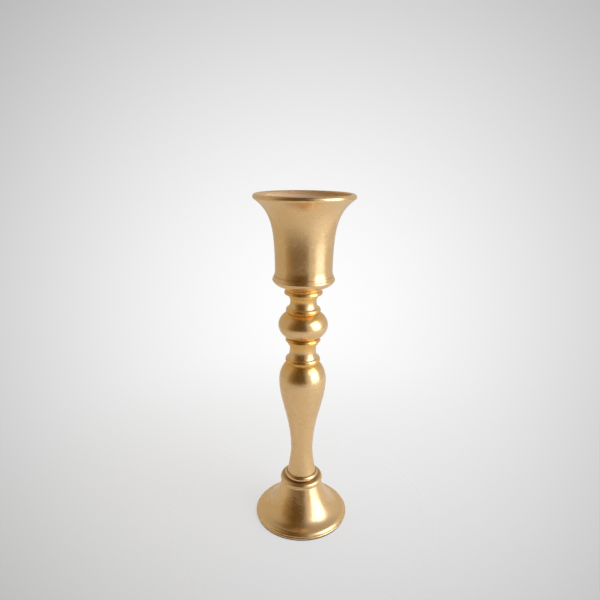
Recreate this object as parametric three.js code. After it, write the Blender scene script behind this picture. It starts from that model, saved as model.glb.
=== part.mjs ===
// An altar candlestick: turned and spun brass pieces threaded on one steel tie rod, under a flared cup for
// a broad candle. Millimetres, +Z up, origin on the floor under the middle of the foot.
//
// Each stem piece is turned about the tie rod. The spigot under it drops into a recess in the piece below,
// which keeps the two in line, and their flat shoulders carry the load. One nut in the floor of the cup and
// one under the ballast pull the whole stack together.
import * as THREE from "three";

// ---- driving dimensions ----

const FACETS = 24; // flats round every turned piece
const FIT = 0.2; // clearance of a spigot in its recess, and of a nut on the rod

const REGISTER = { radius: 8.8, height: 2 }; // the centring spigot under each stem piece
const ROD = { radius: 4, slack: 0.3, belowNut: 1.5, aboveNut: 0.4, chamfer: 0.6 };
const NUT = { acrossFlats: 13, fullHeight: 6.5, thinHeight: 4 };
const CUP_WASHER = { radius: 8, height: 1.6 };
const BASE_WASHER = { radius: 12, height: 2 };
const SPRING_WASHER = { radius: 7.2, height: 2, splitAngle: 14 };

const FELT = { height: 1, inset: 0.6 };
const CLOSING_PLATE = { height: 1.5 };
const FOOT = {
  radius: 50,
  height: 40.5,
  wall: 2,
  rimHeight: 2.4,
  rimWidth: 4,
  shoulderInset: 3.6,
  shoulderHeight: 4.2,
  topRadius: 20.6,
  topLand: 1.6,
  webHeight: 2.5,
};
const BALLAST = { inset: 12, clearance: 0.8, abovePlate: 0.5, pocketClearance: 3, pocketSpare: 1.5 };

// Rings and spools stand on a square fillet, with a bead above it that is widest near its lower edge.
const COLLAR_LOWER = {
  fillet: { radius: 21.8, height: 0.7 },
  bead: { radius: 22.8, height: 4.7, widest: 1.1, depth: 5.4 },
};
const COLLAR_UPPER = {
  fillet: { radius: 16.9, height: 0.4 },
  bead: { radius: 17.9, height: 4.7, widest: 1.1, depth: 2.4 },
};
const LOWER_RING = {
  fillet: { radius: 15.4, height: 3 },
  bead: { radius: 17.8, height: 3.8, widest: 0.6, depth: 1.8 },
};
const LOWER_SPOOL = {
  fillet: { radius: 16.3, height: 1.7 },
  bead: { radius: 17.5, height: 4.2, widest: 0.8, depth: 2.2 },
  height: 20.2,
  waistRadius: 12.9,
  waistHeight: 13.8,
  topRadius: 13.4,
};
const UPPER_SPOOL = {
  fillet: { radius: 15.8, height: 1.2 },
  bead: { radius: 17, height: 3.9, widest: 0.8, depth: 2.4 },
  height: 15.7,
  waistRadius: 12.7,
  waistHeight: 11.4,
  topRadius: 13.6,
};
const UPPER_RING = {
  fillet: { radius: 14.6, height: 3.2 },
  bead: { radius: 19.1, height: 4.1, widest: 0.8, depth: 1.6 },
  topFillet: { radius: 18.2, height: 2.5 },
};

const BALUSTER = {
  height: 128,
  footRadius: 15.2,
  footLip: 0.6,
  waistRadius: 11.6,
  waistHeight: 27.5,
  bellyRadius: 24.3,
  bellyHeight: 108.5,
  neckRadius: 16,
  wall: 2.6,
  webHeight: 6,
};
const KNOP = { radius: 25, height: 26.6, halfDepth: 17.4, wall: 2.4, webHeight: 3.6 };

const DISH = {
  floor: 2.7,
  footRadius: 19.4,
  bowlRadius: 29.6,
  beadRadius: 30.9,
  beadHeight: 5,
  beadBelowRim: 1.6,
  beadTurn: 55,
  rimRadius: 29.4,
};
const CUP = {
  height: 78.5,
  wall: 2,
  footRadius: 29,
  waistRadius: 28.2,
  waistHeight: 6,
  mouthRadius: 49.2,
  lipRadius: 2.35,
  lipTurn: 0.5,
  seatRadius: 27,
  seatDepth: 3,
  floor: 1.5,
  floorChamfer: 1,
  wellClearance: 1.2,
  nutBelowFloor: 0.5,
};

// ---- materials ----

const brass = new THREE.MeshStandardMaterial({ color: 0xc99a4b, roughness: 0.38, metalness: 1 });
const steel = new THREE.MeshStandardMaterial({ color: 0x9a9da0, roughness: 0.4, metalness: 1 });
const iron = new THREE.MeshStandardMaterial({ color: 0x3b3a3a, roughness: 0.8, metalness: 0.6 });
const felt = new THREE.MeshStandardMaterial({ color: 0x26302a, roughness: 1, metalness: 0 });

// ---- outlines ----

const BORE = ROD.radius + ROD.slack;
const NUT_CORNER = NUT.acrossFlats / 2 / Math.cos(Math.PI / 6);
const point = (radius, height) => new THREE.Vector2(radius, height);

/** A named solid turned about Z from an outline that closes on itself, or starts and ends on the axis. */
function turned(name, material, outline) {
  const onAxis = outline[0].x === 0 && outline.at(-1).x === 0;
  const geometry = new THREE.LatheGeometry(onAxis ? outline : [...outline, outline[0]], FACETS);
  geometry.rotateX(Math.PI / 2);
  const mesh = new THREE.Mesh(geometry, material);
  mesh.name = name;
  return mesh;
}

/** A cubic curve after its first point. Each handle is a share of the way across and of the way up. */
function sweep(from, to, [acrossA, upA], [acrossB, upB], steps) {
  const handle = (across, up) =>
    point(THREE.MathUtils.lerp(from.x, to.x, across), THREE.MathUtils.lerp(from.y, to.y, up));
  const curve = new THREE.CubicBezierCurve(from, handle(acrossA, upA), handle(acrossB, upB), to);
  return curve.getPoints(steps).slice(1);
}

/** Part of an ellipse about (radius, height), between two angles in degrees, both ends included. */
function arc(radius, height, halfWidth, halfHeight, fromAngle, toAngle, steps) {
  return Array.from({ length: steps + 1 }, (_, i) => {
    const angle = THREE.MathUtils.degToRad(THREE.MathUtils.lerp(fromAngle, toAngle, i / steps));
    return point(radius + halfWidth * Math.cos(angle), height + halfHeight * Math.sin(angle));
  });
}

/** A bead that stands on bottom: a short quarter round out to its widest, and a taller one back in. */
function bead({ radius, height, widest, depth }, bottom) {
  const below = arc(radius - depth, bottom + widest, depth, widest, -90, 0, 2);
  const above = arc(radius - depth, bottom + widest, depth, height - widest, 0, 90, 4);
  return [...below, ...above.slice(1)];
}

/** The same curve moved inwards by a wall, square to itself. */
function insideOf(curve, wall) {
  return curve.map((here, i) => {
    const before = curve[Math.max(i - 1, 0)];
    const after = curve[Math.min(i + 1, curve.length - 1)];
    const along = after.clone().sub(before).normalize();
    return point(here.x - along.y * wall, here.y + along.x * wall);
  });
}

/** The underside of a stem piece: from the bore, out over its spigot, to the shoulder at height 0. */
function spigot() {
  return [
    point(BORE, -REGISTER.height),
    point(REGISTER.radius, -REGISTER.height),
    point(REGISTER.radius, 0),
  ];
}

/** The top of a stem piece: from the shoulder, in over the recess for the next spigot, to the bore. */
function recess(shoulder) {
  const floor = shoulder - REGISTER.height - FIT;
  return [point(REGISTER.radius + FIT, shoulder), point(REGISTER.radius + FIT, floor), point(BORE, floor)];
}

/** The fillet and bead that rings and spools stand on. */
function filletAndBead(size) {
  return [
    point(size.fillet.radius, 0),
    point(size.fillet.radius, size.fillet.height),
    ...bead(size.bead, size.fillet.height),
  ];
}

/** The hollow inside a cored casting, from its top web down to its bottom web. */
function core(curve, wall, lowWeb, highWeb) {
  const side = insideOf(curve, wall).filter((p) => p.y > lowWeb && p.y < highWeb);
  return [
    point(BORE, highWeb),
    point(side.at(-1).x, highWeb),
    ...side.toReversed(),
    point(side[0].x, lowWeb),
    point(BORE, lowWeb),
  ];
}

// ---- base ----

const rimBore = FOOT.radius - FOOT.rimWidth;
const rimRound = FOOT.rimHeight / 2;
const shoulder = point(FOOT.radius - FOOT.shoulderInset, FOOT.shoulderHeight);
const footSweep = [
  shoulder,
  ...sweep(shoulder, point(FOOT.topRadius, FOOT.height - FOOT.topLand), [0.5, 0.22], [0.76, 0.51], 8),
];
const underWeb = FOOT.height - FOOT.webHeight;

/** The spun foot: rolled rim, round shoulder, and a hollow sweep up to a flat web with a register hole. */
function footShell() {
  const rimEdge = point(FOOT.radius - rimRound, FOOT.rimHeight);
  const lining = insideOf(footSweep, FOOT.wall).filter((p) => p.y < underWeb);
  return turned("foot_shell", brass, [
    point(rimBore, 0),
    ...arc(rimEdge.x, rimRound, rimRound, rimRound, -90, 90, 4),
    ...sweep(rimEdge, shoulder, [0, 0.35], [0.45, 0.8], 3),
    ...footSweep.slice(1),
    point(FOOT.topRadius, FOOT.height),
    point(REGISTER.radius + FIT, FOOT.height),
    point(REGISTER.radius + FIT, underWeb),
    point(lining.at(-1).x, underWeb),
    ...lining.toReversed(),
    point(rimBore, FOOT.rimHeight),
  ]);
}

const pocketHeight =
  BASE_WASHER.height + SPRING_WASHER.height + NUT.fullHeight + ROD.belowNut + BALLAST.pocketSpare;
const ballastBottom = CLOSING_PLATE.height + BALLAST.abovePlate;
const pocketRoof = ballastBottom + pocketHeight;
const pocketRadius = BASE_WASHER.radius + BALLAST.pocketClearance;

/** The cast-iron weight inside the foot, with a pocket below for the nut and its washers. */
function ballast() {
  const lining = insideOf(footSweep, FOOT.wall + BALLAST.clearance);
  const side = lining.filter((p) => p.x < FOOT.radius - BALLAST.inset && p.y < underWeb);
  return turned("ballast", iron, [
    point(pocketRadius, ballastBottom),
    point(side[0].x, ballastBottom),
    ...side,
    point(side.at(-1).x, underWeb),
    point(BORE, underWeb),
    point(BORE, pocketRoof),
    point(pocketRadius, pocketRoof),
  ]);
}

/** A flat disc, standing on height 0. */
function disc(name, material, radius, height) {
  return turned(name, material, [point(0, 0), point(radius, 0), point(radius, height), point(0, height)]);
}

const feltPad = () => disc("felt_pad", felt, FOOT.radius - FELT.inset, FELT.height);
const closingPlate = () => disc("closing_plate", steel, rimBore - FIT, CLOSING_PLATE.height);

// ---- fasteners ----

/** A flat washer, standing on height 0. */
function washer(name, size) {
  return turned(name, steel, [
    point(BORE, 0),
    point(size.radius, 0),
    point(size.radius, size.height),
    point(BORE, size.height),
  ]);
}

/** A flat outline with a round hole or split in it, drawn up to a height. */
function drawnUp(name, outline, height) {
  const settings = { depth: height, bevelEnabled: false, curveSegments: FACETS };
  const mesh = new THREE.Mesh(new THREE.ExtrudeGeometry(outline, settings), steel);
  mesh.name = name;
  return mesh;
}

/** A hexagon nut, standing on height 0. */
function hexNut(name, height) {
  const corners = Array.from({ length: 6 }, (_, i) =>
    point(NUT_CORNER, 0).rotateAround(point(0, 0), (i * Math.PI) / 3),
  );
  const outline = new THREE.Shape(corners);
  outline.holes.push(new THREE.Path().absarc(0, 0, ROD.radius + FIT, 0, 2 * Math.PI, true));
  return drawnUp(name, outline, height);
}

/** The spring washer, pressed flat: a ring with a split. */
function springWasher() {
  const halfSplit = THREE.MathUtils.degToRad(SPRING_WASHER.splitAngle) / 2;
  const outline = new THREE.Shape()
    .absarc(0, 0, SPRING_WASHER.radius, halfSplit, 2 * Math.PI - halfSplit, false)
    .absarc(0, 0, BORE, 2 * Math.PI - halfSplit, halfSplit, true);
  return drawnUp("spring_washer", outline, SPRING_WASHER.height);
}

/** The steel rod that all the other pieces are threaded on, standing on height 0. */
function tieRod(length) {
  return turned("tie_rod", steel, [
    point(0, 0),
    point(ROD.radius - ROD.chamfer, 0),
    point(ROD.radius, ROD.chamfer),
    point(ROD.radius, length - ROD.chamfer),
    point(ROD.radius - ROD.chamfer, length),
    point(0, length),
  ]);
}

// ---- stem: each piece stands with its shoulder at height 0 ----

/** A solid ring: a fillet with a bead above it. */
function ring(name, size) {
  const height = size.fillet.height + size.bead.height;
  const mesh = turned(name, brass, [...spigot(), ...filletAndBead(size), ...recess(height)]);
  return { mesh, height };
}

/** A spool: fillet and bead below, then a hollow neck that opens a little at its top. */
function spool(name, size) {
  const start = point(size.bead.radius - size.bead.depth, size.fillet.height + size.bead.height);
  const waist = point(size.waistRadius, size.waistHeight);
  const mesh = turned(name, brass, [
    ...spigot(),
    ...filletAndBead(size),
    ...sweep(start, waist, [0.5, 0.2], [1, 0.5], 5),
    ...sweep(waist, point(size.topRadius, size.height), [0, 0.4], [0.4, 0.8], 2),
    ...recess(size.height),
  ]);
  return { mesh, height: size.height };
}

/** The baluster: a cored casting with a trumpet foot, a slim waist and a full belly under its neck. */
function baluster() {
  const start = point(BALUSTER.footRadius, BALUSTER.footLip);
  const waist = point(BALUSTER.waistRadius, BALUSTER.waistHeight);
  const belly = point(BALUSTER.bellyRadius, BALUSTER.bellyHeight);
  const outside = [
    start,
    ...sweep(start, waist, [0.35, 0.2], [0.9, 0.6], 5),
    ...sweep(waist, belly, [0, 0.43], [1, 0.71], 8),
    ...sweep(belly, point(BALUSTER.neckRadius, BALUSTER.height), [0, 0.385], [0.34, 0.77], 5),
  ];
  const mesh = turned("baluster", brass, [
    ...spigot(),
    point(BALUSTER.footRadius, 0),
    ...outside,
    ...recess(BALUSTER.height),
    ...core(outside, BALUSTER.wall, BALUSTER.webHeight, BALUSTER.height - BALUSTER.webHeight),
  ]);
  return { mesh, height: BALUSTER.height };
}

/** The knop: a flattened hollow ball cut off level above and below. */
function knop() {
  const middle = KNOP.height / 2;
  const cutAngle = THREE.MathUtils.radToDeg(Math.asin(middle / KNOP.halfDepth));
  const outside = arc(0, middle, KNOP.radius, KNOP.halfDepth, -cutAngle, cutAngle, 12);
  const mesh = turned("knop", brass, [
    ...spigot(),
    ...outside,
    ...recess(KNOP.height),
    ...core(outside, KNOP.wall, KNOP.webHeight, KNOP.height - KNOP.webHeight),
  ]);
  return { mesh, height: KNOP.height };
}

/** The ring under the cup: a fillet and bead like the others, with a second fillet above the bead. */
function upperRing() {
  const beadTop = UPPER_RING.fillet.height + UPPER_RING.bead.height;
  const height = beadTop + UPPER_RING.topFillet.height;
  const mesh = turned("upper_ring", brass, [
    ...spigot(),
    ...filletAndBead(UPPER_RING),
    point(UPPER_RING.topFillet.radius, beadTop),
    point(UPPER_RING.topFillet.radius, height),
    ...recess(height),
  ]);
  return { mesh, height };
}

// ---- cup ----

// Heights from the cup's shoulder on the dish.
const cupFloor = CUP.floor - CUP.seatDepth; // the face that the candle stands on
const wellFloor = cupFloor - CUP_WASHER.height - NUT.thinHeight - ROD.aboveNut - CUP.nutBelowFloor;
const wellBottom = wellFloor - CUP.floor;
const wellRadius = Math.max(CUP_WASHER.radius, NUT_CORNER) + CUP.wellClearance;

/** The cast dish under the cup: a bowl and a bold bead, sunk above to take the cup's seat and its well. */
function cupDish() {
  const height = DISH.floor + FIT - wellBottom;
  const beadTop = height - DISH.beadBelowRim;
  const round = DISH.beadHeight / 2;
  const bowlEnd = point(DISH.bowlRadius, beadTop - DISH.beadHeight);
  const mesh = turned("cup_dish", brass, [
    ...spigot(),
    point(DISH.footRadius, 0),
    ...sweep(point(DISH.footRadius, 0), bowlEnd, [0.2, 0.2], [0.78, 0.42], 4),
    ...arc(DISH.beadRadius - round, beadTop - round, round, round, -DISH.beadTurn, DISH.beadTurn, 5),
    point(DISH.rimRadius, height),
    point(CUP.seatRadius + FIT, height),
    point(CUP.seatRadius + FIT, height - CUP.seatDepth - FIT),
    point(wellRadius + CUP.floor + FIT, height - CUP.seatDepth - FIT),
    point(wellRadius + CUP.floor + FIT, DISH.floor),
    point(BORE, DISH.floor),
  ]);
  return { mesh, height };
}

/** The spun cup: a bell with a rolled lip, and a floor dimpled in the middle to sink the nut. */
function cup() {
  const foot = point(CUP.footRadius, 0);
  const waist = point(CUP.waistRadius, CUP.waistHeight);
  const lip = point(CUP.mouthRadius - CUP.lipRadius, CUP.height - CUP.lipRadius);
  const underLip = point(lip.x - CUP.lipTurn, lip.y - CUP.lipRadius - CUP.lipTurn / 2);
  const flare = [waist, ...sweep(waist, underLip, [0.04, 0.56], [0.15, 0.85], 10)];
  const insideRadius = CUP.seatRadius - CUP.floor;
  return turned("cup", brass, [
    point(CUP.seatRadius, 0),
    foot,
    ...sweep(foot, waist, [0.6, 0.25], [1, 0.6], 3),
    ...flare.slice(1),
    ...arc(lip.x, lip.y, CUP.lipRadius, CUP.lipRadius, -90, 135, 5),
    ...insideOf(flare, CUP.wall).toReversed(),
    point(insideRadius, cupFloor + CUP.floorChamfer),
    point(insideRadius - CUP.floorChamfer, cupFloor),
    point(wellRadius, cupFloor),
    point(wellRadius, wellFloor),
    point(BORE, wellFloor),
    point(BORE, wellBottom),
    point(wellRadius + CUP.floor, wellBottom),
    point(wellRadius + CUP.floor, -CUP.seatDepth),
    point(CUP.seatRadius, -CUP.seatDepth),
  ]);
}

// ---- assembly ----

const candlestick = new THREE.Group();

/** Adds a piece with its own height 0 at the given height above the floor. */
function place(mesh, height) {
  mesh.position.z = height;
  candlestick.add(mesh);
}

const footBottom = FELT.height;
place(feltPad(), 0);
place(closingPlate(), footBottom);
place(footShell(), footBottom);
place(ballast(), footBottom);

let shoulderHeight = footBottom + FOOT.height;
const stack = [
  ring("collar_lower", COLLAR_LOWER),
  ring("collar_upper", COLLAR_UPPER),
  baluster(),
  spool("lower_spool", LOWER_SPOOL),
  ring("lower_ring", LOWER_RING),
  knop(),
  spool("upper_spool", UPPER_SPOOL),
  upperRing(),
  cupDish(),
];
for (const { mesh, height } of stack) {
  place(mesh, shoulderHeight);
  shoulderHeight += height;
}
place(cup(), shoulderHeight);

const cupWasherHeight = shoulderHeight + wellFloor;
const cupNutHeight = cupWasherHeight + CUP_WASHER.height;
place(washer("cup_washer", CUP_WASHER), cupWasherHeight);
place(hexNut("cup_nut", NUT.thinHeight), cupNutHeight);

const baseWasherHeight = footBottom + pocketRoof - BASE_WASHER.height;
const springWasherHeight = baseWasherHeight - SPRING_WASHER.height;
const baseNutHeight = springWasherHeight - NUT.fullHeight;
place(washer("base_washer", BASE_WASHER), baseWasherHeight);
place(springWasher(), springWasherHeight);
place(hexNut("base_nut", NUT.fullHeight), baseNutHeight);

const rodBottom = baseNutHeight - ROD.belowNut;
const rodTop = cupNutHeight + NUT.thinHeight + ROD.aboveNut;
place(tieRod(rodTop - rodBottom), rodBottom);

export default candlestick;
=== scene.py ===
import math

import bpy
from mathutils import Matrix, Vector


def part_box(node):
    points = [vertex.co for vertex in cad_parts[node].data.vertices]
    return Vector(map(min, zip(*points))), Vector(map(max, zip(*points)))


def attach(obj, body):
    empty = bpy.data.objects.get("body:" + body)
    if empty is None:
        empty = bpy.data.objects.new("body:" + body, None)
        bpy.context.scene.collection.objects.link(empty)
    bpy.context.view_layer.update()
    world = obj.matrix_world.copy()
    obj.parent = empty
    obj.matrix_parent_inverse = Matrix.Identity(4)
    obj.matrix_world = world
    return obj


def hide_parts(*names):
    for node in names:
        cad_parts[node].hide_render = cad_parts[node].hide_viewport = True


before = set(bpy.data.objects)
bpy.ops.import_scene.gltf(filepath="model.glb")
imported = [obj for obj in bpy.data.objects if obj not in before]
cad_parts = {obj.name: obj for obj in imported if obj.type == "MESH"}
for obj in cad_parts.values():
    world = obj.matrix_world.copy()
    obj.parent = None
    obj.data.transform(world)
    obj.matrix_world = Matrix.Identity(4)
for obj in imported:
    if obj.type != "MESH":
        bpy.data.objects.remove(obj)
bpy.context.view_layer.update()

# An altar candlestick: gilded turned pieces on one tie rod, put together here from the floor up.
# Outlines are half sections, as (radius, height) in millimetres, with height 0 at the piece's shoulder.

# ---- felt pad ----
# A disc of dark green wool felt, glued under the foot so that no metal touches the altar.
# It is stamped out with a die, so its edge is square with a slight nap, and shows as a dark line.

MM = 0.001
TURNS = 160  # faces round a turned piece


class Wire:
    """An output socket of a material's nodes. Sums and products of wires add Math nodes."""

    def __init__(self, tree, socket=None):
        self.tree = tree
        self.socket = socket

    def node(self, kind, settings=None, inputs=None, output=0):
        """Adds a node, sets it, then gives its sockets their values or wires. Returns one output."""
        made = self.tree.nodes.new(kind)
        for name, value in (settings or {}).items():
            setattr(made, name, value)
        for name, value in (inputs or {}).items():
            if isinstance(value, Wire):
                self.tree.links.new(value.socket, made.inputs[name])
            else:
                made.inputs[name].default_value = value
        return Wire(self.tree, made.outputs[output])

    def maths(self, operation, *values):
        return self.node("ShaderNodeMath", {"operation": operation}, dict(enumerate(values)))

    def __add__(self, other):
        return self.maths("ADD", self, other)

    __radd__ = __add__

    def __sub__(self, other):
        return self.maths("SUBTRACT", self, other)

    def __rsub__(self, other):
        return self.maths("SUBTRACT", other, self)

    def __mul__(self, other):
        return self.maths("MULTIPLY", self, other)

    __rmul__ = __mul__

    def __pow__(self, other):
        return self.maths("POWER", self, other)

    def noise(self, place, size, detail=2.0, roughness=0.5):
        """Cloudy noise from 0 to 1, in patches about as wide as size in millimetres."""
        sizes = {"Vector": place, "Scale": 1 / (size * MM), "Detail": detail, "Roughness": roughness}
        return self.node("ShaderNodeTexNoise", inputs=sizes)

    def between(self, value, low, high, start=0.0, end=1.0):
        """start where value is at low or less, end where it is at high or more, smooth between them."""
        ends = {0: value, 1: low, 2: high, 3: start, 4: end}
        return self.node("ShaderNodeMapRange", {"interpolation_type": "SMOOTHSTEP"}, ends)

    def mix(self, factor, colour, other):
        """One colour into another. A plain colour is (red, green, blue)."""
        full = [c if isinstance(c, Wire) else (*c, 1) for c in (colour, other)]
        return self.node("ShaderNodeMix", {"data_type": "RGBA"}, {0: factor, 6: full[0], 7: full[1]}, 2)

    def axis(self, place, number):
        """One of the three numbers of a place: 0 across, 1 away from the camera and 2 up."""
        return self.node("ShaderNodeSeparateXYZ", inputs={0: place}, output=number)

    def close(self, shader, kind="ShaderNodeOutputMaterial"):
        """Joins the last shader to the output."""
        out = self.tree.nodes.new(kind)
        self.tree.links.new(shader.socket, out.inputs["Surface"])


def new_finish(name):
    """An empty material, as (material, wire to build on, object coordinates)."""
    material = bpy.data.materials.new(name)
    material.use_nodes = True
    material.node_tree.nodes.clear()
    wire = Wire(material.node_tree)
    return material, wire, wire.node("ShaderNodeTexCoord", output=3)


def close_finish(wire, height, depth, sockets):
    """The bump and the Principled shader that every finish ends in. depth is in millimetres."""
    bump = {"Height": height, "Distance": depth * MM, "Strength": 1.0}
    normal = wire.node("ShaderNodeBump", inputs=bump)
    wire.close(wire.node("ShaderNodeBsdfPrincipled", inputs={"Normal": normal, **sockets}))


def turned(name, outline, shoulder):
    """Spins a half outline about the stem: a vertex is extruded along it, and the line is spun round."""
    points = [Vector((radius, 0, height)) * MM + Vector((0, 0, shoulder)) for radius, height in outline]
    bpy.ops.object.select_all(action="DESELECT")
    bpy.ops.mesh.primitive_plane_add(size=MM, location=(0, 0, 0))
    piece = bpy.context.active_object
    piece.name = piece.data.name = name
    bpy.ops.object.mode_set(mode="EDIT")
    bpy.ops.mesh.select_all(action="SELECT")
    bpy.ops.mesh.merge(type="CENTER")
    bpy.ops.transform.translate(value=points[0])
    for before, after in zip(points, points[1:]):
        bpy.ops.mesh.extrude_region_move(TRANSFORM_OT_translate={"value": after - before})
    bpy.ops.mesh.select_all(action="SELECT")
    bpy.ops.mesh.spin(steps=TURNS, angle=2 * math.pi, center=(0, 0, 0), axis=(0, 0, 1))
    bpy.ops.mesh.select_all(action="SELECT")
    bpy.ops.mesh.remove_doubles(threshold=MM / 1000)
    bpy.ops.mesh.normals_make_consistent(inside=False)
    bpy.ops.object.mode_set(mode="OBJECT")
    bpy.ops.object.shade_smooth_by_angle(angle=math.radians(35))
    return piece


def fitted(piece, node, material):
    """The finished piece stands for its CAD node and rides with the candlestick."""
    piece.data.materials.clear()
    piece.data.materials.append(material)
    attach(piece, "root")
    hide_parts(node)


def arc(centre, half_width, half_height, start, end, step=7.5):
    """Part of an ellipse, between two angles in degrees from straight out, in equal steps."""
    across, up = centre
    count = max(2, math.ceil(abs(end - start) / step))
    angles = [math.radians(start + (end - start) * i / count) for i in range(count + 1)]
    return [(across + half_width * math.cos(a), up + half_height * math.sin(a)) for a in angles]


pad_low, pad_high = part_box("felt_pad")
pad_radius = pad_high.x / MM
pad_height = (pad_high.z - pad_low.z) / MM
nap = 0.25
pad = turned(
    "felt_pad_soft",
    [
        (0, 0),
        (pad_radius * 0.5, 0),
        *arc((pad_radius - nap, nap), nap, nap, -90, 0, 30),
        *arc((pad_radius - nap, pad_height - nap), nap, nap, 0, 90, 30),
        (pad_radius * 0.5, pad_height),
        (0, pad_height),
    ],
    pad_low.z,
)
felt, wire, place = new_finish("wool_felt")
fibre = wire.noise(place, 0.5, 6, 0.7)
cloud = wire.noise(place, 9, 3)
green = wire.mix(fibre * 0.6 + cloud * 0.4, (0.012, 0.018, 0.013), (0.05, 0.062, 0.046))
close_finish(wire, fibre, 0.4, {"Base Color": green, "Roughness": 1.0, "Sheen Weight": 0.3})
fitted(pad, "felt_pad", felt)

# ---- closing plate ----
# A zinc-plated steel disc pressed into the rim of the foot, which holds the felt and hides the weight.
# It is stamped sheet and keeps its plain flat shape. The base nut and its two washers have its plating.

steel, wire, place = new_finish("zinc_plate")
spangle = wire.noise(place, 3, 3)
scuff = wire.noise(place, 0.4, 4, 0.65)
zinc = wire.mix(spangle, (0.42, 0.43, 0.43), (0.66, 0.67, 0.68))
dull = wire.between(scuff, 0.3, 0.7, 0.28, 0.5)
close_finish(wire, scuff, 0.03, {"Base Color": zinc, "Roughness": dull, "Metallic": 1.0})
for node in ("closing_plate", "base_washer", "spring_washer", "base_nut"):
    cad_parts[node].data.materials.clear()
    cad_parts[node].data.materials.append(steel)

# ---- foot ----
# A round trumpet foot, spun from brass sheet over a chuck, with its rim rolled under and its flat top
# bored to take the first collar. Everything gilded shares its finish: satin gold over a fine grain.


def gilt(name, creases, bounce_joints=(), gloss=1.0):
    """Satin gilding under lacquer. Painted shade darkens it at the creases, and a painted orange
    reflection, as of gold lit by the gold next to it, warms it round the joints of the second list.

    Both are lists of heights in metres. gloss is 1 on what is buffed and 0 on what is left as sprayed,
    which is also painted paler there, as painted light.
    """
    material, wire, place = new_finish(name)
    height = wire.axis(place, 2)

    def close_to(heights, full, none):
        """1 up to the first distance from the nearest of the heights, 0 beyond the second, in mm."""
        gaps = [wire.maths("ABSOLUTE", height - level) for level in heights]
        nearest = gaps[0]
        for gap in gaps[1:]:
            nearest = wire.maths("MINIMUM", nearest, gap)
        return wire.between(nearest, full * MM, none * MM, 1.0, 0.0)

    cloud = wire.noise(place, 20, 3)
    fleck = wire.noise(place, 2.0, 4, 0.65)
    grain = wire.noise(place, 0.7, 3, 0.6)
    rings = wire.node("ShaderNodeMapping", inputs={"Vector": place, "Scale": (0.1, 0.1, 5)})
    lathe = wire.noise(rings, 4, 3, 0.6)
    colour = wire.mix(cloud, (0.85, 0.555, 0.245), (0.92, 0.635, 0.32))
    # Painted light: what is left unbuffed is painted paler, to light up the shaded inside of the cup.
    if not gloss:
        colour = wire.mix(0.5, colour, (0.93, 0.83, 0.68))
    worn = wire.between(fleck * 0.8 + cloud * 0.2, 0.52, 0.66)
    colour = wire.mix(worn * 0.2, colour, (0.93, 0.74, 0.46))
    if bounce_joints:
        # Painted reflection: orange near these joints, as gold lit by the gold next to it.
        painted_bounce = close_to(bounce_joints, 1.0, 7.5) * (0.55 + 0.5 * fleck)
        colour = wire.mix(painted_bounce * 0.85, colour, (0.88, 0.48, 0.08))
    pits = wire.between(fleck, 0.37, 0.29)
    colour = wire.mix(pits * 0.45, colour, (0.36, 0.21, 0.07))
    # Painted shade: dark brown at the creases where the parts meet, where shade falls.
    painted_crease_shade = close_to(creases, 0.1, 0.7) * (0.3 * fleck if bounce_joints else 0.25 + 0.5 * fleck)
    colour = wire.mix(painted_crease_shade, colour, (0.16, 0.085, 0.025))
    smooth = 0.26 if gloss else 0.5
    rough = wire.between(cloud, 0.3, 0.7, smooth - 0.02, smooth + 0.04) + 0.12 * pits + 0.15 * painted_crease_shade
    relief = fleck * 0.15 + grain * 0.6 + lathe * 0.25
    sockets = {"Base Color": colour, "Roughness": rough, "Metallic": 1.0 if gloss else 0.4}
    sockets.update({"Coat Weight": 0.15 * gloss, "Coat Roughness": 0.2})
    close_finish(wire, relief, 0.055, sockets)
    return material


def sweep(start, end, first, second, step=0.6):
    """A cubic curve, without its first point. Each handle is a share of the way across and up."""
    across, up = end[0] - start[0], end[1] - start[1]
    handles = [(start[0] + across * a, start[1] + up * b) for a, b in (first, second)]
    corners = (start, *handles, end)
    count = max(4, round(math.hypot(across, up) / step))
    curve = []
    for i in range(1, count + 1):
        t = i / count
        weights = ((1 - t) ** 3, 3 * t * (1 - t) ** 2, 3 * t * t * (1 - t), t**3)
        radius = sum(weight * corner[0] for weight, corner in zip(weights, corners))
        height = sum(weight * corner[1] for weight, corner in zip(weights, corners))
        curve.append((radius, height))
    return curve


def inside_of(curve, wall):
    """The same curve moved inwards by the wall, square to itself."""
    moved = []
    for i, (radius, height) in enumerate(curve):
        before = curve[max(i - 1, 0)]
        after = curve[min(i + 1, len(curve) - 1)]
        along = Vector((after[0] - before[0], after[1] - before[1])).normalized()
        moved.append((radius - along.y * wall, height + along.x * wall))
    return moved


def eased(outline, radius):
    """The outline with each sharp corner rounded, as a file and the gilding leave it."""
    soft = [outline[0]]
    for before, corner, after in zip(outline, outline[1:], outline[2:]):
        back = Vector(before) - Vector(corner)
        ahead = Vector(after) - Vector(corner)
        if min(back.length, ahead.length) < 1e-6:
            continue
        turn = math.pi - back.angle(ahead)
        if turn < math.radians(25):
            soft.append(corner)
            continue
        cut = min(radius * math.tan(turn / 2), back.length * 0.45, ahead.length * 0.45)
        start = Vector(corner) + back.normalized() * cut
        end = Vector(corner) + ahead.normalized() * cut
        for t in (0, 0.25, 0.5, 0.75, 1):
            soft.append(tuple(start * (1 - t) ** 2 + Vector(corner) * (2 * t * (1 - t)) + end * t * t))
    return [*soft, outline[-1]]


BORE = 4.3  # radius of the hole through every piece, for the tie rod
REGISTER = 8.8  # radius of the spigot under each stem piece
REGISTER_HEIGHT = 2.0
FIT = 0.2  # the gap round and under a spigot

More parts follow.
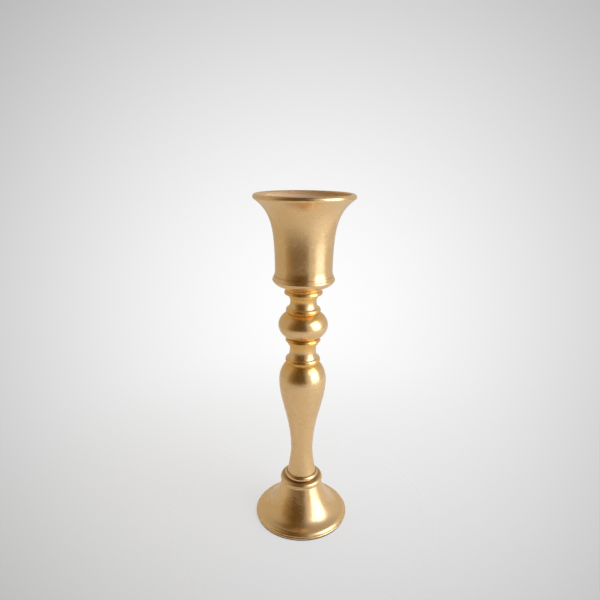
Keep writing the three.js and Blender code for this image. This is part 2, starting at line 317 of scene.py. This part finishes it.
foot_low, foot_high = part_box("foot_shell")
foot_radius = foot_high.x / MM
foot_height = (foot_high.z - foot_low.z) / MM
rim_round = 1.2
rim_bore = foot_radius - 4
foot_wall = 1.0
web_thickness = 2.5
web = foot_height - web_thickness
top_land = 1.6
top_edge = 0.35
foot_shoulder = (foot_radius - 5.2, 5.9)
foot_neck = (20.6, foot_height - top_land)
foot_flank = [foot_shoulder, *sweep(foot_shoulder, foot_neck, (0.54, 0.11), (0.74, 0.52))]
foot_lining = [p for p in inside_of(foot_flank, foot_wall) if p[1] < web]
foot = turned(
    "foot_spun",
    [
        (rim_bore, 0),
        *arc((foot_radius - rim_round, rim_round), rim_round, rim_round, -90, 90, 15),
        *sweep((foot_radius - rim_round, 2 * rim_round), foot_shoulder, (0, 0.35), (0.45, 0.8), 0.4),
        *foot_flank[1:],
        *eased([foot_neck, (foot_neck[0], foot_height), (REGISTER + FIT, foot_height)], top_edge)[1:],
        (REGISTER + FIT, web),
        (foot_lining[-1][0], web),
        *reversed(foot_lining),
        (rim_bore, 2 * rim_round),
        (rim_bore, 0),
    ],
    foot_low.z,
)
fitted(foot, "foot_shell", gilt("gilt_foot", [foot_high.z]))

# ---- ballast ----
# A weight of grey cast iron inside the foot, left as it came from the sand, held up under the web by
# the base nut. It keeps its cast shape, with the pocket for the nut below.

iron, wire, place = new_finish("cast_iron")
sand = wire.noise(place, 1.2, 5, 0.7)
rust = wire.between(wire.noise(place, 14, 4), 0.5, 0.75)
colour = wire.mix(sand, (0.03, 0.03, 0.032), (0.11, 0.108, 0.105))
colour = wire.mix(rust * 0.4, colour, (0.13, 0.055, 0.025))
close_finish(wire, sand, 0.5, {"Base Color": colour, "Roughness": 0.8, "Metallic": 0.4})
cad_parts["ballast"].data.materials.clear()
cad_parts["ballast"].data.materials.append(iron)

# ---- collar: two rings on the foot ----
# Two turned brass rings, the wide one below, each with a square fillet under a fat bead. A spigot
# under each drops into the recess of the piece below.


EDGE = 0.15  # how far a turned edge is rubbed round


def bead(radius, height, widest, depth, bottom):
    """A bead that stands on bottom: a quarter round out to its widest height, and another back in."""
    centre = (radius - depth, bottom + widest)
    return [*arc(centre, depth, widest, -90, 0), *arc(centre, depth, height - widest, 0, 90)[1:]]


def spigot():
    """The underside of a stem piece: from the bore, out over its spigot, to the shoulder."""
    return [(BORE, -REGISTER_HEIGHT), (REGISTER, -REGISTER_HEIGHT), (REGISTER, 0)]


def recess(top):
    """The top of a stem piece: down into the recess for the next spigot, and down the bore."""
    floor = top - REGISTER_HEIGHT - FIT
    return [(REGISTER + FIT, top), (REGISTER + FIT, floor), (BORE, floor), (BORE, -REGISTER_HEIGHT)]


def shoulder_of(node):
    """Where a stem piece rests: its spigot goes below that."""
    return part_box(node)[0].z + REGISTER_HEIGHT * MM


def joints_of(node):
    """The heights at which a stem piece meets its neighbours."""
    return [shoulder_of(node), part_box(node)[1].z]


def ring_outline(fillet, lobe):
    """A square fillet, as (radius, height), under a bead, as (radius, height, widest height, depth)."""
    side = [(fillet[0], 0), fillet, *bead(*lobe, fillet[1])]
    return eased([*spigot(), *side, *recess(fillet[1] + lobe[1])], EDGE)


for node, fillet, lobe in (
    ("collar_lower", (21.8, 0.7), (22.8, 4.7, 1.3, 3.6)),
    ("collar_upper", (16.9, 0.4), (17.9, 4.7, 1.1, 2.4)),
):
    ring = turned(node + "_turned", ring_outline(fillet, lobe), shoulder_of(node))
    fitted(ring, node, gilt("gilt_" + node, joints_of(node)))

# ---- baluster ----
# The long pear of the stem, cored in the casting so that it is a hollow shell with a web at each end,
# then turned outside: a trumpet foot, a slim waist and a full belly under its neck.


def core(curve, wall, web, height):
    """The hollow of a cored casting, from its top web down to its bottom web, and in to the bore."""
    low, high = web, height - web
    side = [p for p in inside_of(curve, wall) if low < p[1] < high]
    return [(BORE, high), (side[-1][0], high), *reversed(side), (side[0][0], low), (BORE, low)]


pear_height = (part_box("baluster")[1].z - shoulder_of("baluster")) / MM
pear_belly = (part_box("baluster")[1].x / MM, 108.5)
pear_waist = (11.6, 27.5)
pear_foot = (15.2, 0.6)
pear_top = (16, pear_height)
pear_wall = 2.6
pear_web = 6
pear_side = [
    pear_foot,
    *sweep(pear_foot, pear_waist, (0.35, 0.2), (0.9, 0.6), 0.8),
    *sweep(pear_waist, pear_belly, (0, 0.43), (1, 0.71), 1.2),
    *sweep(pear_belly, pear_top, (0, 0.385), (0.34, 0.77), 0.6),
]
pear = turned(
    "baluster_turned",
    [
        *spigot(),
        (pear_foot[0], 0),
        *pear_side,
        *recess(pear_height)[:3],
        *core(pear_side, pear_wall, pear_web, pear_height),
        (BORE, -REGISTER_HEIGHT),
    ],
    shoulder_of("baluster"),
)
joints = joints_of("baluster")
fitted(pear, "baluster", gilt("gilt_baluster", joints, joints[1:]))

# ---- spools: the two concave necks ----
# Each spool is one turned piece: a square fillet, a bead, and a hollow neck that opens a little at its
# top. One stands on the baluster and one on the ball.

for node, fillet, lobe, waist, top_radius in (
    ("lower_spool", (16.5, 1.7), (17.9, 4.2, 0.8, 2.3), (13.4, 13.8), 13.9),
    ("upper_spool", (16.2, 1.2), (17.5, 3.9, 0.8, 2.5), (13.2, 11.4), 14.0),
):
    height = (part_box(node)[1].z - shoulder_of(node)) / MM
    neck = (lobe[0] - lobe[3], fillet[1] + lobe[1])
    spool = turned(
        node + "_turned",
        eased(
            [
                *spigot(),
                (fillet[0], 0),
                fillet,
                *bead(*lobe, fillet[1]),
                *sweep(neck, waist, (0.5, 0.2), (1, 0.5), 0.5),
                *sweep(waist, (top_radius, height), (0, 0.4), (0.4, 0.8), 0.5),
                *recess(height),
            ],
            EDGE,
        ),
        shoulder_of(node),
    )
    fitted(spool, node, gilt("gilt_" + node, joints_of(node), joints_of(node)))

# ---- lower ring, under the ball ----
# A turned ring with a deep square fillet and a flat bead, the seat that the ball drops on.

outline = ring_outline((15.4, 3.0), (17.8, 3.8, 0.6, 1.8))
ring = turned("lower_ring_turned", outline, shoulder_of("lower_ring"))
joints = joints_of("lower_ring")
fitted(ring, "lower_ring", gilt("gilt_lower_ring", joints, joints))

# ---- knop ----
# The ball of the stem: a flattened hollow sphere, cut off level above and below, cast with a core
# and turned outside.

ball_height = (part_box("knop")[1].z - shoulder_of("knop")) / MM
ball_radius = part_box("knop")[1].x / MM
ball_depth = 17.4
ball_wall = 2.4
ball_web = 3.6
cut_angle = math.degrees(math.asin(ball_height / 2 / ball_depth))
ball_side = arc((0, ball_height / 2), ball_radius, ball_depth, -cut_angle, cut_angle, 2)
ball = turned(
    "knop_turned",
    [
        *spigot(),
        *ball_side,
        *recess(ball_height)[:3],
        *core(ball_side, ball_wall, ball_web, ball_height),
        (BORE, -REGISTER_HEIGHT),
    ],
    shoulder_of("knop"),
)
joints = joints_of("knop")
fitted(ball, "knop", gilt("gilt_knop", joints, joints))

# ---- upper ring, under the dish ----
# Like the lower ring, with a second square fillet above its bead that fills the space under the dish.

fillet = (14.6, 3.2)
lobe = (19.1, 4.1, 0.8, 1.6)
lobe_top = fillet[1] + lobe[1]
cap_radius = 18.2
ring_height = (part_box("upper_ring")[1].z - shoulder_of("upper_ring")) / MM
ring = turned(
    "upper_ring_turned",
    eased(
        [
            *spigot(),
            (fillet[0], 0),
            fillet,
            *bead(*lobe, fillet[1]),
            (cap_radius, lobe_top),
            (cap_radius, ring_height),
            *recess(ring_height),
        ],
        EDGE,
    ),
    shoulder_of("upper_ring"),
)
joints = joints_of("upper_ring")
fitted(ring, "upper_ring", gilt("gilt_upper_ring", joints, joints))

# ---- dish under the cup ----
# A cast dish with a bold bead round its edge. Its top is bored out to hold the seat of the cup, and
# deeper in the middle for the well that sinks the nut.

CUP_SEAT = 27.0  # radius of the foot of the cup, which sits in the dish
SEAT_DEPTH = 3.0
WELL = 9.2  # radius inside the well for the nut
SHEET = 1.5  # thickness of the cup's floor and well
dish_height = (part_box("cup_dish")[1].z - shoulder_of("cup_dish")) / MM
dish_bottom = (19.4, 0)
dish_top = (29.4, dish_height)
dish_edge = 0.2
bead_round = 2.5
bead_land = 1.6
bead_middle = (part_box("cup_dish")[1].x / MM - bead_round, dish_height - bead_land - bead_round)
bead_foot = (29.6, bead_middle[1] - bead_round)
bead_side = arc(bead_middle, bead_round, bead_round, -55, 55)
seat_floor = dish_height - SEAT_DEPTH - FIT
pocket_floor = 2.7
dish = turned(
    "cup_dish_turned",
    [
        *spigot(),
        dish_bottom,
        *sweep(dish_bottom, bead_foot, (0.2, 0.2), (0.78, 0.42), 0.6),
        *bead_side,
        *eased([bead_side[-1], dish_top, (CUP_SEAT + FIT, dish_height)], dish_edge)[1:],
        (CUP_SEAT + FIT, seat_floor),
        (WELL + SHEET + FIT, seat_floor),
        (WELL + SHEET + FIT, pocket_floor),
        (BORE, pocket_floor),
        (BORE, -REGISTER_HEIGHT),
    ],
    shoulder_of("cup_dish"),
)
joints = joints_of("cup_dish")
fitted(dish, "cup_dish", gilt("gilt_cup_dish", joints, joints[:1]))

# ---- cup ----
# A bell spun from one disc of brass, its lip rolled outwards over a wire, and its floor dimpled in the
# middle so that the nut lies below the candle. It is gilded inside and out, and buffed only outside.
# Its inside is painted paler, as painted light on the shaded inside of the bell.

cup_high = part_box("cup")[1]
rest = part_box("cup_dish")[1].z
mouth = cup_high.x / MM
cup_height = (cup_high.z - rest) / MM
cup_wall = 2.0
cup_bottom = (29, 0)
lip_round = 2.8
lip_middle = (mouth - lip_round, cup_height - lip_round)
under_lip = (lip_middle[0] + 1.35, lip_middle[1] - 2.35)
cup_waist = (28.2, 6)
flare = [cup_waist, *sweep(cup_waist, under_lip, (0.03, 0.56), (0.13, 0.81), 0.9)]
cup_floor = SHEET - SEAT_DEPTH
well_depth = 6.5
well_floor = cup_floor - well_depth
inside_radius = CUP_SEAT - SHEET
inside_bottom = [
    (inside_radius, cup_waist[1]),
    (inside_radius, cup_floor),
    (WELL, cup_floor),
    (WELL, well_floor),
    (BORE, well_floor),
]
inside_bend = 1.0
cup = turned(
    "cup_spun",
    [
        (CUP_SEAT, 0),
        cup_bottom,
        *sweep(cup_bottom, cup_waist, (0.6, 0.25), (1, 0.6), 0.5),
        *flare[1:],
        *arc(lip_middle, lip_round, lip_round, -50, 135),
        *reversed(inside_of(flare, cup_wall)),
        *eased(inside_bottom, inside_bend)[1:],
        (BORE, well_floor - SHEET),
        (WELL + SHEET, well_floor - SHEET),
        (WELL + SHEET, -SEAT_DEPTH),
        (CUP_SEAT, -SEAT_DEPTH),
        (CUP_SEAT, 0),
    ],
    rest,
)
fitted(cup, "cup", gilt("gilt_cup", [rest]))
cup.data.materials.append(gilt("gilt_cup_inside", [rest], gloss=0))
# What looks inwards, up to the crown of the lip, is the inside.
crown = cup_high.z - 0.3 * lip_round * MM
for face in cup.data.polygons:
    outwards = face.normal.xy.dot(face.center.xy)
    if face.center.z < crown and outwards < 0.02 * face.center.xy.length:
        face.material_index = 1

# ---- washer in the cup ----
# A zinc-plated steel washer at the bottom of the well, which spreads the pull of the nut over the thin
# brass. It is stamped, so its edges are slightly rounded.

washer_low, washer_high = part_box("cup_washer")
washer_radius = washer_high.x / MM
washer_height = (washer_high.z - washer_low.z) / MM
stamped_edge = 0.25
section = [(BORE, 0), (washer_radius, 0), (washer_radius, washer_height), (BORE, washer_height), (BORE, 0)]
washer = turned("cup_washer_stamped", eased(section, stamped_edge), washer_low.z)
fitted(washer, "cup_washer", steel)

# ---- nut in the cup ----
# A thin hexagon nut of zinc-plated steel on the end of the rod. Its corners are chamfered above and
# below: a six-sided bar cut to the shape of a turned blank.

nut_low, nut_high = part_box("cup_nut")
nut_corner = nut_high.x / MM
nut_flat = nut_corner * math.cos(math.radians(30))
nut_height = (nut_high.z - nut_low.z) / MM
nut_bore = 4.2
nut_chamfer = 0.6
bore_chamfer = 0.3
spare = 0.1  # how far the blank reaches past the corners and stays within the flats
bpy.ops.object.select_all(action="DESELECT")
bpy.ops.mesh.primitive_cylinder_add(
    vertices=6,
    radius=nut_corner * MM,
    depth=nut_height * MM,
    location=(0, 0, (nut_low.z + nut_high.z) / 2),
    rotation=(0, 0, math.radians(30)),
)
bpy.ops.object.transform_apply(location=True, rotation=True, scale=True)
nut = bpy.context.active_object
nut.name = nut.data.name = "cup_nut_cut"
section = [
    (nut_bore + bore_chamfer, 0),
    (nut_flat - spare, 0),
    (nut_corner + spare, nut_chamfer),
    (nut_corner + spare, nut_height - nut_chamfer),
    (nut_flat - spare, nut_height),
    (nut_bore + bore_chamfer, nut_height),
    (nut_bore, nut_height - bore_chamfer),
    (nut_bore, bore_chamfer),
    (nut_bore + bore_chamfer, 0),
]
blank = turned("nut_blank", section, nut_low.z)
cut = nut.modifiers.new("chamfers", "BOOLEAN")
cut.operation = "INTERSECT"
cut.object = blank
bpy.context.view_layer.objects.active = nut
bpy.ops.object.modifier_apply(modifier=cut.name)
bpy.data.objects.remove(blank)
bpy.ops.object.select_all(action="DESELECT")
nut.select_set(True)
bpy.ops.object.shade_smooth_by_angle(angle=math.radians(25))
fitted(nut, "cup_nut", steel)

# ---- tie rod ----
# The zinc-plated steel rod that holds the stack together. Its M8 thread is shown as rings at the top,
# where its chamfered end comes through the nut.

rod_low, rod_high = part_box("tie_rod")
rod_radius = rod_high.x / MM
rod_length = (rod_high.z - rod_low.z) / MM
rod_chamfer = 0.6
tip_chamfer = 0.5
centre_hole = (1.4, 0.8)  # radius and depth
pitch = 1.25
thread_depth = 0.65
thread_turns = 8
thread_start = rod_length - rod_chamfer - thread_turns * pitch
thread = []
for turn in range(thread_turns):
    foot_of_turn = thread_start + turn * pitch
    thread.append((rod_radius - thread_depth, foot_of_turn))
    thread.append((rod_radius, foot_of_turn + 0.55 * pitch))
    thread.append((rod_radius, foot_of_turn + 0.7 * pitch))
rod = turned(
    "tie_rod_threaded",
    [
        (0, 0),
        (rod_radius - rod_chamfer, 0),
        (rod_radius, rod_chamfer),
        (rod_radius, thread_start - thread_depth),
        *thread,
        (rod_radius - thread_depth, rod_length - tip_chamfer),
        (rod_radius - thread_depth - tip_chamfer, rod_length),
        (centre_hole[0], rod_length),
        (0, rod_length - centre_hole[1]),
    ],
    rod_low.z,
)
fitted(rod, "tie_rod", steel)

# ---- studio ----
# The piece stands on a sheet of white paper under one tall soft lamp, on its right and towards the
# camera. Brown flags on its left and overhead shape the reflections in the gold, inside a cream tent.

camera_data = bpy.data.cameras.new("camera")
camera = bpy.data.objects.new("camera", camera_data)
bpy.context.scene.collection.objects.link(camera)
bpy.context.scene.camera = camera
camera_data.lens = 30
camera_data.sensor_width = 36
camera.location = (-0.0034, -0.479, 0.383)
camera_dip = 16.0
camera_roll = 0.55
camera.rotation_euler = (math.radians(90 - camera_dip), 0, 0)
camera.rotation_euler.rotate_axis("Z", math.radians(camera_roll))


def studio_card(name, corners, material):
    """A flat card between four corners, given row by row."""
    bpy.ops.object.select_all(action="DESELECT")
    bpy.ops.mesh.primitive_plane_add(size=1, location=(0, 0, 0))
    card = bpy.context.active_object
    card.name = card.data.name = name
    for vertex, corner in zip(card.data.vertices, corners):
        vertex.co = corner
    card.data.materials.append(material)
    return card


def glowing(name, left, right, low, high):
    """A material that glows in one colour up to the place low across, and in another from high on."""
    material, wire, place = new_finish(name)
    colour = wire.mix(wire.between(wire.axis(place, 0), low, high), left, right)
    wire.close(wire.node("ShaderNodeEmission", inputs={"Color": colour, "Strength": 1.0}))
    return material


# To the camera alone the paper is mostly clear, so that it melts into the background beyond its shadow.
# Everything else, the gold's reflections too, meets it whole near the piece, and clear far off.
half = 1.6
paper_white, wire, place = new_finish("floor_paper")
far = wire.node("ShaderNodeVectorMath", {"operation": "LENGTH"}, {0: place}, 1)
seen = wire.node("ShaderNodeLightPath", output=0)
hint = 0.28 * wire.between(far, 0.06, 0.5, 1.0, 0.0)
solid = wire.between(far, 0.45, 1.15, 1.0, 0.0) * (1 - seen) + hint * seen
sheet = wire.node("ShaderNodeBsdfDiffuse", inputs={"Color": (0.98, 0.98, 0.98, 1)})
clear = wire.node("ShaderNodeBsdfTransparent")
wire.close(wire.node("ShaderNodeMixShader", inputs={0: solid, 1: clear, 2: sheet}))
studio_card("floor", [(-half, -half, 0), (half, -half, 0), (-half, half, 0), (half, half, 0)], paper_white)

brown = glowing("brown_flag", (0.36, 0.26, 0.14), (0.115, 0.068, 0.018), -1.45, -0.6)
for name, corners in (
    ("flag_wall", [(-1.55, -0.45, -1), (0.6, -1.85, -1), (-1.55, -0.45, 2.2), (0.6, -1.85, 2.2)]),
    ("flag_roof", [(-1.4, -1.9, 2.2), (0.45, -1.9, 2.2), (-1.4, 0.7, 2.2), (0.45, 0.7, 2.2)]),
):
    studio_card(name, corners, brown).visible_camera = False

# The tent is met only by reflections. It hides the background from the gold, except high up and low
# down, and neither lights the paper nor shades it.
bpy.ops.object.select_all(action="DESELECT")
bpy.ops.mesh.primitive_cylinder_add(
    vertices=48,
    radius=2.6,
    depth=3.8,
    end_fill_type="NOTHING",
    location=(0, 0, 0.7),
)
bpy.ops.object.transform_apply(location=True)
tent = bpy.context.active_object
tent.name = tent.data.name = "cream_tent"
tent.data.materials.append(glowing("cream_cloth", (0.53, 0.48, 0.40), (0.62, 0.60, 0.58), -2.3, 2.3))
tent.visible_camera = False
tent.visible_diffuse = False
tent.visible_shadow = False

# The background is brightest low behind the piece. The camera sees it, and so do reflections and clear
# things where no card, tent or paper is in the way. Plain surfaces are lit by a pale colour instead.
world = bpy.data.worlds.new("studio")
bpy.context.scene.world = world
world.use_nodes = True
world.node_tree.nodes.clear()
wire = Wire(world.node_tree)
towards = wire.node("ShaderNodeTexCoord", output=0)
glow_way = tuple(Vector((0.02, 0.97, -0.29)).normalized())
nearness = wire.node("ShaderNodeVectorMath", {"operation": "DOT_PRODUCT"}, {0: towards, 1: glow_way}, 1)
angle = wire.maths("ARCCOSINE", nearness)
level = wire.maths("MAXIMUM", 0.991 - 0.82 * angle**1.6, 0.45)
background = wire.node("ShaderNodeCombineXYZ", inputs={0: level, 1: level, 2: level})
camera_ray = wire.node("ShaderNodeLightPath", output=0)
glossy_ray = wire.node("ShaderNodeLightPath", output=3)
clear_ray = wire.node("ShaderNodeLightPath", output=6)
shows = wire.maths("MINIMUM", camera_ray + glossy_ray + clear_ray, 1.0)
pale = wire.mix(wire.between(wire.axis(towards, 0), -0.9, 0.9), (0.66, 0.61, 0.53), (0.76, 0.74, 0.71))
shown = wire.mix(shows, pale, background)
glow = wire.node("ShaderNodeBackground", inputs={"Color": shown, "Strength": 1.0})
wire.close(glow, "ShaderNodeOutputWorld")

lamp_data = bpy.data.lights.new("soft_lamp", "AREA")
lamp = bpy.data.objects.new("soft_lamp", lamp_data)
bpy.context.scene.collection.objects.link(lamp)
lamp_data.shape = "RECTANGLE"
lamp_data.size = 0.9
lamp_data.size_y = 1.25
lamp_data.color = (0.9, 1.02, 1.32)
lamp_brightness = 2.4
lamp_data.energy = lamp_brightness * math.pi * lamp_data.size * lamp_data.size_y
lamp_turn = math.radians(66)
lamp_rise = 0.36
lamp_distance = 1.2
lamp_way = Vector((math.sin(lamp_turn), -math.cos(lamp_turn), lamp_rise)).normalized()
lamp_aim = Vector((0, 0, 0.18))
lamp.location = lamp_aim + lamp_way * lamp_distance
lamp.rotation_euler = lamp_way.to_track_quat("Z", "Y").to_euler()

bpy.context.scene.view_settings.view_transform = "Standard"
